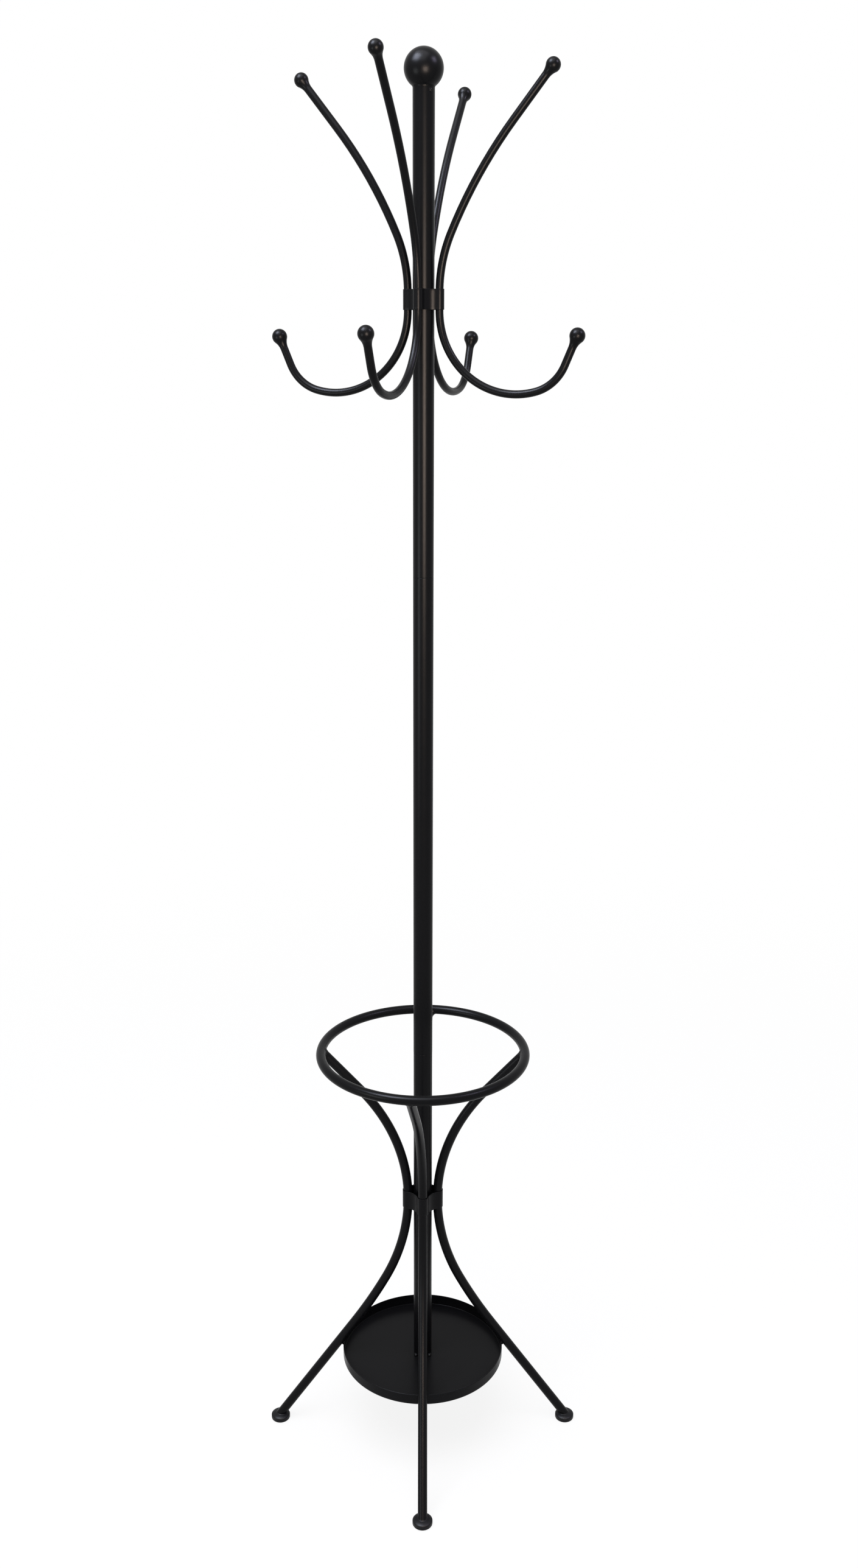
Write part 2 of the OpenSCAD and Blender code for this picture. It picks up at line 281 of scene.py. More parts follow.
@dataclass(frozen=True)
class Straight:
    """Straight stretch of a bar."""

    length: float


@dataclass(frozen=True)
class Line:
    """Centre line of a bar: points, directions, and the side direction of each ring."""

    points: np.ndarray
    headings: np.ndarray
    sides: np.ndarray

    def backwards(self) -> Line:
        """The same line from its far end."""
        return Line(self.points[::-1], -self.headings[::-1], self.sides[::-1])

    def then(self, other: Line) -> Line:
        """This line with another one after it, less the point that they share."""
        pairs = zip(vars(self).values(), vars(other).values())
        return Line(*(np.vstack([first, second[1:]]) for first, second in pairs))


def bent_line(
    start: tuple[float, float], steps: Sequence[Bend | Straight], azimuth: float, rise: int
) -> Line:
    """Centre line that leaves a point upright and bends away from the post.

    On a bend of radius R the line turns by t, so it runs R(cos a - cos(a + t)) outwards and
    R(sin(a + t) - sin a) along the upright, where a is the heading's angle from upright.

    Args:
        start: Distance from the post's axis, and height.
        steps: Bends and straight stretches in order.
        azimuth: Direction that the line bends to, in radians from +X.
        rise: 1 where the line starts upwards, -1 where it starts downwards.

    Returns:
        The line in the frame.
    """
    out, height, angle = start[0], start[1], 0.0
    runs = [np.array([[out, height, angle]])]
    for step in steps:
        if isinstance(step, Bend):
            rings = max(BEND_RINGS, int(step.degrees / RING_DEGREES))
            turn = np.radians(np.linspace(0, step.degrees, rings + 1))[1:]
            xs = out + step.radius * (math.cos(angle) - np.cos(angle + turn))
            zs = height + rise * step.radius * (np.sin(angle + turn) - math.sin(angle))
            angles = angle + turn
        else:
            way = np.linspace(0, step.length, STRAIGHT_RINGS + 1)[1:]
            xs = out + way * math.sin(angle)
            zs = height + rise * way * math.cos(angle)
            angles = np.full(len(way), angle)
        runs.append(np.stack([xs, zs, angles], -1))
        out, height, angle = (float(value) for value in runs[-1][-1])
    flat = np.vstack(runs)
    outwards = level(azimuth)
    return Line(
        np.outer(flat[:, 0], outwards) + np.outer(flat[:, 1], UP),
        np.outer(np.sin(flat[:, 2]), outwards) + np.outer(rise * np.cos(flat[:, 2]), UP),
        np.tile(np.cross(UP, outwards), (len(flat), 1)),
    )


def bend_to(reach: float, rise: float, radius: float) -> float:
    """Angle of a bend whose straight end passes a given point.

    The bend starts upright. The angle is that of the point from the bend's centre, less
    that of the straight end, which touches the bend's circle.

    Args:
        reach: How far outwards the point lies from the bend's start.
        rise: How far along the upright it lies.
        radius: Radius of the bend.

    Returns:
        The angle in degrees.
    """
    past = math.sqrt((reach - radius) ** 2 + rise * rise - radius * radius)
    return 180 + math.degrees(math.atan2(-rise, reach - radius) - math.atan2(past, radius))


def round_bar(line: Line, radius: float) -> Shell:
    """Carries a circle along a line, with a flat end at each end.

    Args:
        line: Centre line.
        radius: Radius of the bar.

    Returns:
        The closed surface.
    """
    angle = full_turn(BAR_POINTS)[None, :, None]
    normals = np.cross(line.sides, line.headings)
    spokes = np.cos(angle) * normals[:, None] + np.sin(angle) * line.sides[:, None]
    return skin(line.points[:, None] + radius * spokes, line.points[[0, -1]])


# ---- weld beads


@dataclass(frozen=True)
class WeldCollar:
    """Fillet of weld or moulding between the end of a round bar and the surface it meets.

    For each angle round the bar the corner where its surface meets the other one is found
    by halving. The face is then a parabola from the bar to that surface, with its control
    point near the corner, and ripples lift it as the bead of a hand weld does.

    up_bar and outwards are how far the face runs up the bar and out on the surface, ripple
    and ripples the share and number of its waves, fill how far it bulges from the corner,
    root how deep its hidden side lies in the metal, and search how far back along the bar
    the corner is looked for.
    """

    up_bar: float
    outwards: float
    ripple: float = 0.0
    ripples: int = 0
    fill: float = 0.2
    root: float = 0.6 * MM
    search: float = 30 * MM
    around: int = 96
    rows: int = 13
    halvings: int = 40
    settlings: int = 6

    def shell(
        self,
        origin: np.ndarray,
        heading: np.ndarray,
        radius: float,
        distance: Callable[[np.ndarray], np.ndarray],
    ) -> Shell:
        """Makes the collar.

        Args:
            origin: Point on the bar's axis, inside the surface that it meets.
            heading: Direction of the bar towards that surface.
            radius: Radius of the bar.
            distance: Distance of points from that surface, positive outside it.

        Returns:
            The closed surface.
        """
        axes, angle = Axes.pointing(origin, heading), full_turn(self.around)
        spoke = axes.spokes(angle)
        outside, inside = np.full(self.around, -self.search), np.zeros(self.around)
        for _ in range(self.halvings):
            middle = (outside + inside) / 2
            clear = distance(origin + middle[:, None] * axes.along + radius * spoke) > 0
            outside, inside = np.where(clear, middle, outside), np.where(clear, inside, middle)
        corner = origin + inside[:, None] * axes.along + radius * spoke
        wave = 1 + self.ripple * np.sin(self.ripples * angle)[:, None]
        on_bar = corner - self.up_bar * wave * axes.along
        on_face = corner + self.outwards * wave * spoke
        for _ in range(self.settlings):
            on_face = on_face - distance(on_face)[:, None] * slope(distance, on_face)
        control = corner + self.fill * (on_bar + on_face - 2 * corner) / 2
        part = np.linspace(0, 1, self.rows)[:, None, None]
        face = (1 - part) ** 2 * on_bar + 2 * part * (1 - part) * control + part**2 * on_face
        beads = np.abs(np.sin(self.ripples * angle / 2))[:, None] * self.ripple * self.outwards
        face = face + np.sin(math.pi * part) * beads * (spoke - axes.along) / 2
        sunk = self.root * slope(distance, corner)
        roots = np.stack([
            on_face - self.root * slope(distance, on_face),
            corner - sunk - self.root * spoke,
            on_bar - self.root * spoke,
        ])
        return skin(np.concatenate([face, roots]))


def slope(distance: Callable[[np.ndarray], np.ndarray], points: np.ndarray) -> np.ndarray:
    """Unit direction in which a distance grows, by central differences.

    Args:
        distance: Distance of points from a surface.
        points: Points, shaped n x 3.

    Returns:
        Directions, shaped n x 3.
    """
    step = 0.01 * MM
    ways = np.eye(3) * step
    grown = np.stack([distance(points + way) - distance(points - way) for way in ways], -1)
    return grown / np.linalg.norm(grown, axis=1, keepdims=True)


# ---- finishes


def linear(hex_colour: str, alpha: float = 1.0) -> tuple[float, float, float, float]:
    """Turns an sRGB hex colour into the linear values that shaders take.

    Args:
        hex_colour: Colour such as "#1a1a1c".
        alpha: Fourth value.

    Returns:
        Red, green, blue and alpha.
    """
    raw = [int(hex_colour[k : k + 2], 16) / 255 for k in (1, 3, 5)]
    red, green, blue = (c / 12.92 if c <= 0.04045 else ((c + 0.055) / 1.055) ** 2.4 for c in raw)
    return red, green, blue, alpha


def add_node(
    tree: bpy.types.NodeTree,
    kind: str,
    settings: dict | None = None,
    values: dict | None = None,
    links: dict | None = None,
) -> bpy.types.Node:
    """Adds a node to a tree.

    Args:
        tree: Node tree.
        kind: The node's type name.
        settings: Attributes of the node.
        values: Values of its input sockets by name or number.
        links: Output sockets to join to its input sockets by name or number.

    Returns:
        The node.
    """
    node = tree.nodes.new(kind)
    for name, value in (settings or {}).items():
        setattr(node, name, value)
    for name, value in (values or {}).items():
        node.inputs[name].default_value = value
    for name, socket in (links or {}).items():
        tree.links.new(socket, node.inputs[name])
    return node


@dataclass(frozen=True)
class Finish:
    """What every finish shares: a base colour that drifts a little, sheen and a fine relief.

    Lengths are the real size of each pattern in metres. relief is the height of the
    surface's waves and grit the height of its finest grain. A noise mostly keeps within
    its span, which is stretched over the roughness.
    """

    name: str
    colour: str
    drift_colour: str
    drift: float
    roughness: float
    rough_spread: float
    specular: float
    wave: float
    relief: float
    grain: float
    grit: float
    metallic: float = 0.0
    span: tuple[float, float] = (0.3, 0.7)

    def material(self) -> bpy.types.Material:
        """Builds the node material.

        Returns:
            The material.
        """
        made = bpy.data.materials.new(self.name)
        made.use_nodes = True
        tree = made.node_tree
        tree.nodes.clear()
        place = {"Vector": add_node(tree, "ShaderNodeTexCoord").outputs["Object"]}
        sizes = ((self.drift, 3.0), (self.drift / 3, 2.0), (self.wave, 1.0), (self.grain, 2.0))
        patches, mottle, waves, grain = (
            add_node(tree, "ShaderNodeTexNoise", None, {"Scale": 1 / size, "Detail": detail}, place)
            for size, detail in sizes
        )
        colours = {6: linear(self.colour), 7: linear(self.drift_colour)}
        links = {0: patches.outputs["Fac"]}
        colour = add_node(tree, "ShaderNodeMix", {"data_type": "RGBA"}, colours, links)
        smooth, rough = self.roughness - self.rough_spread, self.roughness + self.rough_spread
        values = dict(zip(RANGE, (*self.span, smooth, rough)))
        links = {"Value": mottle.outputs["Fac"]}
        polish = add_node(tree, "ShaderNodeMapRange", None, values, links)
        normal: dict = {}
        for noise, height in ((waves, self.relief), (grain, self.grit)):
            links = {"Height": noise.outputs["Fac"], **normal}
            bump = add_node(tree, "ShaderNodeBump", None, {"Distance": height}, links)
            normal = {"Normal": bump.outputs["Normal"]}
        links = {"Base Color": colour.outputs[2], "Roughness": polish.outputs[0], **normal}
        levels = {"Metallic": self.metallic, "Specular IOR Level": self.specular}
        shader = add_node(tree, "ShaderNodeBsdfPrincipled", None, levels, links)
        add_node(tree, "ShaderNodeOutputMaterial", links={"Surface": shader.outputs[0]})
        return made


@dataclass(frozen=True)
class PowderCoat(Finish):
    """Polyester powder, stoved on steel: a satin black film with a faint orange peel."""

    name: str = "stoved_powder_coat"
    colour: str = "#0c0c0d"
    drift_colour: str = "#0f0f11"
    drift: float = 40 * MM
    roughness: float = 0.3
    rough_spread: float = 0.015
    specular: float = 0.06
    wave: float = 2.2 * MM
    relief: float = 0.006 * MM
    grain: float = 0.5 * MM
    grit: float = 0.001 * MM


@dataclass(frozen=True)
class ZincPlate(Finish):
    """Bright zinc on turned steel, on the screw joints inside the post."""

    name: str = "bright_zinc_plate"
    colour: str = "#b9bdc2"
    drift_colour: str = "#a7a9a6"
    drift: float = 12 * MM
    roughness: float = 0.32
    rough_spread: float = 0.06
    specular: float = 0.5
    metallic: float = 1.0
    wave: float = 1.2 * MM
    relief: float = 0.006 * MM
    grain: float = 0.4 * MM
    grit: float = 0.004 * MM


@dataclass(frozen=True)
class MouldedFoot(Finish):
    """Injection-moulded black nylon with the polish of its mould on it."""

    name: str = "polished_black_nylon"
    colour: str = "#0c0c0e"
    drift_colour: str = "#101013"
    drift: float = 15 * MM
    roughness: float = 0.42
    rough_spread: float = 0.04
    specular: float = 0.12
    wave: float = 4 * MM
    relief: float = 0.03 * MM
    grain: float = 0.6 * MM
    grit: float = 0.003 * MM


FINISHES = {Slot.COAT: PowderCoat(), Slot.ZINC: ZincPlate(), Slot.FEET: MouldedFoot()}


# ---- pieces


@dataclass
class Workshop:
    """Turns surfaces into finished pieces that ride on the frame's bodies."""

    materials: dict[Slot, bpy.types.Material]

    def piece(self, name: str, shell: Shell, body: Body, node: str, slot: Slot = Slot.COAT) -> None:
        """Makes a piece that stands for one node.

        Args:
            name: Name of the new piece.
            shell: Its surface.
            body: Body that it rides on.
            node: Node that it stands for.
            slot: Material slot of its finish.
        """
        mesh = bpy.data.meshes.new(name)
        mesh.from_pydata(shell.points.tolist(), [], shell.quads.tolist() + shell.fans.tolist())
        mesh.validate()
        mesh.shade_smooth()
        mesh.set_sharp_from_angle(angle=SHARP_ANGLE)
        mesh.materials.append(self.materials[slot])
        made = bpy.data.objects.new(name, mesh)
        bpy.context.scene.collection.objects.link(made)
        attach(made, body.value)
        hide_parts(node)
        low, high = node_size(node)
        off = max(np.abs(shell.points.min(0) - low).max(), np.abs(shell.points.max(0) - high).max())
        LOG.info("%s: %d faces, within %.2f mm of %s", name, len(mesh.polygons), off / MM, node)


def node_size(node: str) -> tuple[np.ndarray, np.ndarray]:
    """Lowest and highest corner of a node of the frame."""
    low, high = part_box(node)
    return np.array(low), np.array(high)


@dataclass
class Post:
    """Three lengths of tube, screwed end to end."""

    workshop: Workshop
    thickness: float = 1.2 * MM
    bevel: float = 0.3 * MM
    plain_edge: float = 0.05 * MM
    seam: float = 0.03 * MM
    around: int = 96

    def build(self) -> None:
        """Makes the three tubes."""
        for name, node, body, joints in (
            ("lower_tube", "lower_post", Body.BASE, (False, True)),
            ("middle_tube", "middle_post", Body.MIDDLE, (True, True)),
            ("upper_tube", "upper_post", Body.TOP, (True, False)),
        ):
            self.workshop.piece(name, self.tube(node, joints), body, node)

    def tube(self, node: str, joints: tuple[bool, bool]) -> Shell:
        """Tube with a rounded edge on each end that meets another tube.

        Args:
            node: Node that gives its ends and its diameter.
            joints: Whether its lower and its upper end are at a joint.

        Returns:
            The closed surface.
        """
        low, high = node_size(node)
        outer = (high[0] - low[0]) / 2
        inner = outer - self.thickness
        foot, top = low[2] + self.seam * joints[0], high[2] - self.seam * joints[1]
        edge = [self.bevel if joint else self.plain_edge for joint in joints]
        profile = np.vstack([
            [[inner, foot]],
            arc((outer - edge[0], foot + edge[0]), edge[0], -90, 0, EDGE_POINTS),
            wall(outer, foot + edge[0], top - edge[1]),
            arc((outer - edge[1], top - edge[1]), edge[1], 0, 90, EDGE_POINTS),
            [[inner, top]],
        ])
        return skin(revolved(profile, Axes.upright(), self.around))


@dataclass
class Finial:
    """Ball on top of the post, the weld that fills the corner under it and a drop that ran.

    drop holds the drop's half width and half height, drop_rise how far it stands out of
    the tube, and drop_below how far it lies under the ball's centre.
    """

    workshop: Workshop
    weld_radius: float = 3 * MM
    gap: float = 0.05 * MM
    root: float = 0.5 * MM
    root_rise: float = 2 * MM
    root_share: float = 0.97
    drop: tuple[float, float] = (2.2 * MM, 3.0 * MM)
    drop_rise: float = 1.1 * MM
    drop_below: float = 24 * MM
    drop_turn: float = math.radians(-38)

    def build(self) -> None:
        """Makes the ball and its weld."""
        low, high = node_size("finial_ball")
        self.radius, self.middle = (high[2] - low[2]) / 2, Axes.upright((high[2] + low[2]) / 2)
        self.tube = node_size("upper_post")[1][0]
        ball = turned_solid(arc((0, 0), self.radius, -90, 90, 97), self.middle, 128)
        self.workshop.piece("ball_finial", ball, Body.TOP, "finial_ball")
        bead = together([self.weld(), self.run()])
        self.workshop.piece("finial_bead", bead, Body.TOP, "finial_weld")

    def weld(self) -> Shell:
        """Hollow fillet from the tube's end to the ball.

        Its face is an arc that touches the tube and the ball; the rest lies in the metal.

        Returns:
            The closed surface.
        """
        x = self.tube + self.gap + self.weld_radius
        z = -math.sqrt((self.radius + self.weld_radius) ** 2 - x * x)
        face = arc((x, z), self.weld_radius, 180, math.degrees(math.atan2(-z, -x)), 15)
        inside, foot = self.tube - self.root, face[0, 1]
        root = [face[-1] * self.root_share, [inside, foot + self.root_rise], [inside, foot]]
        return skin(revolved(np.vstack([face, root]), self.middle, 96))

    def run(self) -> Shell:
        """Drop of weld that ran down the tube: an upright ellipsoid sunk into its side.

        Returns:
            The closed surface.
        """
        out = level(Side.FRONT.azimuth(self.drop_turn))
        shift = (self.tube + self.drop_rise - self.drop[0]) * out - self.drop_below * UP
        profile = arc((0, 0), 1, -90, 90, 25) * self.drop
        return turned_solid(profile, self.middle.moved(shift), 40)


@dataclass
class Clasp:
    """Strip bent round four bars and pressed in between them.

    lobe is the strip's radius round a bar, neck its least distance from the axis, and turn
    the clockwise turn of the bars from the sides of the rack, in radians.
    """

    centre_radius: float
    lobe: float
    neck: float
    thickness: float
    turn: float = 0.0
    edge: float = 0.25 * MM
    rows: int = 9
    lobe_points: int = 60
    hollow_points: int = 40

    def shell(self, low: float, high: float) -> Shell:
        """Carries the strip's rounded section round the clasp's plan.

        Args:
            low: Height of the lower edge.
            high: Height of the upper edge.

        Returns:
            The closed surface.
        """
        flat, bottom, top = self.thickness / 2 - self.edge, low + self.edge, high - self.edge
        heights = np.linspace(bottom, top, self.rows)[1:-1]
        face = np.stack([np.full(len(heights), self.thickness / 2), heights], -1)
        section = np.vstack([
            arc((flat, bottom), self.edge, -90, 0, EDGE_POINTS),
            face,
            arc((flat, top), self.edge, 0, 90, EDGE_POINTS),
            arc((-flat, top), self.edge, 90, 180, EDGE_POINTS),
            face[::-1] * [-1, 1],
            arc((-flat, bottom), self.edge, 180, 270, EDGE_POINTS),
        ])
        plan = self.plan(section[:, 0])
        rise = np.broadcast_to(section[:, 1], plan.shape[:2])
        return skin(np.concatenate([plan, rise[:, :, None]], -1))

    def plan(self, off: np.ndarray) -> np.ndarray:
        """Plan of the clasp: an arc round each bar, and between two bars a hollow one.

        The hollow arc's circle touches both bars' arcs and comes to the neck's distance.

        Args:
            off: Distances out from the strip's middle line.

        Returns:
            Points, shaped along x distances x 2.
        """
        c, rise = self.centre_radius, self.lobe - self.neck
        w = (c * c - rise * rise) / (math.sqrt(2) * c + 2 * rise)
        hollow = np.array([w, w]) / math.sqrt(2)
        tilt = math.atan2(hollow[1], hollow[0] - c)
        at_bar = np.linspace(-tilt, tilt, self.lobe_points, endpoint=False)
        between = np.linspace(
            tilt + math.pi, 1.5 * math.pi - tilt, self.hollow_points, endpoint=False
        )
        lobes = np.array([c, 0]) + (self.lobe + off)[None, :, None] * rays(at_bar)
        hollows = hollow + (w - self.neck - off)[None, :, None] * rays(between)
        quarter = np.concatenate([lobes, hollows])
        ways = [level(k * math.pi / 2 - self.turn) for k in range(4)]
        return np.concatenate([quarter @ [way[:2], np.cross(UP, way)[:2]] for way in ways])


def rays(angle: np.ndarray) -> np.ndarray:
    """Unit directions at some angles, shaped along x 1 x 2."""
    return np.stack([np.cos(angle), np.sin(angle)], -1)[:, None, :]


@dataclass
class HookCluster:
    """Four bent rods with a ball on each end, held round the post by a clasp.

    below_band and inside_band are how far under the clasp's lower and upper edge the
    cradle and the arm start to bend.
    """

    workshop: Workshop
    turn: float = math.radians(19.35)
    rod: float = 9.5 * MM
    centre_radius: float = 20 * MM
    strip: float = 0.8 * MM
    gap: float = 0.1 * MM
    below_band: float = 1 * MM
    inside_band: float = 3 * MM
    cradle: tuple[Bend | Straight, ...] = (
        Bend(95.3 * MM, 105),
        Bend(52 * MM, 52),
        Straight(36 * MM),
    )
    arm: tuple[Bend | Straight, ...] = (
        Bend(158.3 * MM, 24.1),
        Bend(520 * MM, 15.5),
        Straight(70 * MM),
    )
    high_ball: float = 17 * MM
    low_ball: float = 18.6 * MM
    neck_radius: float = 18 * MM
    neck_fit: float = 0.02 * MM
    neck_root: float = 0.5 * MM
    neck_tail: float = 1 * MM

    def build(self) -> None:
        """Makes the clasp, the rods and the balls."""
        low, high = node_size("hook_band")
        start = low[2] - self.below_band
        rise = high[2] - self.inside_band - start
        post = node_size("upper_post")[1][0]
        lobe = self.rod / 2 + self.gap + self.strip / 2
        neck = post + self.gap + self.strip / 2
        band = Clasp(self.centre_radius, lobe, neck, self.strip, self.turn).shell(low[2], high[2])
        self.workshop.piece("hook_clasp", band, Body.TOP, "hook_band")
        for side in Side:
            azimuth = side.azimuth(self.turn)
            origin = (self.centre_radius, start)
            cradle = bent_line(origin, self.cradle, azimuth, -1)
            arm = bent_line(origin, (Straight(rise), *self.arm), azimuth, 1)
            rod = round_bar(cradle.backwards().then(arm), self.rod / 2)
            label = side.label
            self.workshop.piece(f"{label}_hook_bar", rod, Body.TOP, f"hook_rod_{label}")
            for end, tip, line, ball in (
                ("high", "upper", arm, self.high_ball),
                ("low", "lower", cradle, self.low_ball),
            ):
                knob = self.knob(line, ball / 2)
                self.workshop.piece(f"{label}_{end}_knob", knob, Body.TOP, f"{tip}_tip_{label}")

    def knob(self, line: Line, radius: float) -> Shell:
        """Ball with a hollow neck that runs out on the rod.

        Args:
            line: Centre line of the rod, up to the ball's centre.
            radius: Radius of the ball.

        Returns:
            The closed surface.
        """
        stem = self.rod / 2 + self.neck_fit
        x = stem + self.neck_radius
        z = -math.sqrt((radius + self.neck_radius) ** 2 - x * x)
        meet = math.degrees(math.atan2(-z, -x))
        neck = arc((x, z), self.neck_radius, 180, meet, 14)
        ball = arc((0, 0), radius, meet - 180, 90, 60)
        inner, tail = stem - self.neck_root, z + self.neck_tail
        profile = np.vstack([[[0, tail], [inner, tail], [inner, z]], neck, ball[1:]])
        return turned_solid(profile, Axes.pointing(line.points[-1], line.headings[-1]), 64)


@dataclass
class UmbrellaBase:
    """Four bent legs, the clasp that holds them, the ring that they carry, and its welds.

    turns are the sideways turns in degrees of the legs above the clasp, foot_aim is the
    share of a foot's height that its leg points at, and foot_sole the foot's depth under
    the leg's end.
    """

    workshop: Workshop
    leg: float = 12.7 * MM
    centre_radius: float = 20.7 * MM
    strip: float = 0.8 * MM
    gap: float = 0.1 * MM
    clasp_neck: float = 17.3 * MM
    top_straight: float = 79 * MM
    low_bend: Bend = Bend(272.5 * MM, 28)
    low_curve: float = 700 * MM
    foot_aim: float = 0.75
    foot_sole: float = 2.5 * MM
    turns: tuple[float, ...] = (8, 1.5, 4, 1.5)
    ring_points: int = 288
    weld: WeldCollar = WeldCollar(5 * MM, 4 * MM, 0.12, 16)

    def __post_init__(self) -> None:
        """Takes the places of the ring, the clasp and the feet from the frame."""
        low, high = node_size("umbrella_ring")
        self.ring_bar, self.ring_height = high[2] - low[2], (high[2] + low[2]) / 2
        self.ring_radius = high[0] - self.ring_bar / 2
        low, high = node_size("leg_band")
        self.band, self.waist = (low[2], high[2]), (low[2] + high[2]) / 2
        low, high = node_size("foot_right")
        self.foot_radius, self.aim_height = (low[0] + high[0]) / 2, self.foot_aim * high[2]

    def build(self) -> None:
        """Makes the legs, the clasp, the ring and the welds."""
        section = arc((self.ring_radius, 0), self.ring_bar / 2, 0, 360, BAR_POINTS + 1)[:-1]
        ring = skin(revolved(section, Axes.upright(self.ring_height), self.ring_points))
        self.workshop.piece("umbrella_hoop", ring, Body.BASE, "umbrella_ring")
        bend = min(self.upper_steps(Side.FRONT)[0].radius, self.low_bend.radius)
        room = (self.waist - self.band[0]) ** 2 / (2 * bend) + self.gap
        lobe, neck = self.leg / 2 + room + self.strip / 2, self.clasp_neck + self.strip / 2
        clasp = Clasp(self.centre_radius, lobe, neck, self.strip)
        self.workshop.piece("leg_clasp", clasp.shell(*self.band), Body.BASE, "leg_band")
        welds = []
        for side in Side:
            upper, lower = self.upper_line(side), self.lower_line(side)
            bar = round_bar(lower.backwards().then(upper), self.leg / 2)
            self.workshop.piece(f"{side.label}_leg_bar", bar, Body.BASE, f"leg_{side.label}")
            end = upper.points[-1], upper.headings[-1], self.leg / 2
            welds.append(self.weld.shell(*end, self.from_ring))
        self.workshop.piece("hoop_welds", together(welds), Body.BASE, "ring_welds")

    def from_ring(self, points: np.ndarray) -> np.ndarray:
        """Distance of points from the ring's surface."""
        out = np.hypot(points[:, 0], points[:, 1]) - self.ring_radius
        return np.hypot(out, points[:, 2] - self.ring_height) - self.ring_bar / 2

    def upper_steps(self, side: Side) -> tuple[Bend, Straight]:
        """Bend that leaves the clasp upright, and the straight end at the ring.

        The straight end of length s touches the bend's circle and ends at a reach and a rise
        from the bend's start, so the radius is (reach squared + rise squared - s squared) /
        (2 reach).

        Args:
            side: Side of the leg, whose sideways turn shortens or lengthens its reach.

        Returns:
            The bend and the straight end.
        """
        turn, rise = math.radians(self.turns[side.value]), self.ring_height - self.waist
        across = self.centre_radius * math.sin(turn)
        reach = math.sqrt(self.ring_radius**2 - across**2) - self.centre_radius * math.cos(turn)
        radius = (reach**2 + rise**2 - self.top_straight**2) / (2 * reach)
        return Bend(radius, bend_to(reach, rise, radius)), Straight(self.top_straight)

    def upper_line(self, side: Side) -> Line:
        """Centre line of a leg above the middle of the clasp, turned sideways.

        Args:
            side: Side of the leg.

        Returns:
            The line.
        """
        turn = math.radians(self.turns[side.value])
        line = bent_line((0.0, self.waist), self.upper_steps(side), side.azimuth(turn), 1)
        shift = self.centre_radius * level(side.azimuth())
        return Line(line.points + shift, line.headings, line.sides)

    def lower_line(self, side: Side) -> Line:
        """Centre line of a leg from the middle of the clasp down into its foot.

        A bend is followed by a long curve, whose straight end points at the middle of the
        foot. The way from the bend's end to the foot is first turned by the bend's angle.

        Args:
            side: Side of the leg.

        Returns:
            The line.
        """
        bend, first = self.low_bend, math.radians(self.low_bend.degrees)
        out = self.foot_radius - self.centre_radius - bend.radius * (1 - math.cos(first))
        down = self.waist - self.aim_height - bend.radius * math.sin(first)
        across = out * math.cos(first) - down * math.sin(first)
        along = out * math.sin(first) + down * math.cos(first)
        curve = Bend(self.low_curve, bend_to(across, along, self.low_curve))
        last = first + math.radians(curve.degrees)
        drop = bend.radius * math.sin(first) + curve.radius * (math.sin(last) - math.sin(first))
        end = self.foot_sole + self.leg / 2 * math.sin(last)
        steps = [bend, curve, Straight((self.waist - drop - end) / math.cos(last))]
        return bent_line((self.centre_radius, self.waist), steps, side.azimuth(), -1)


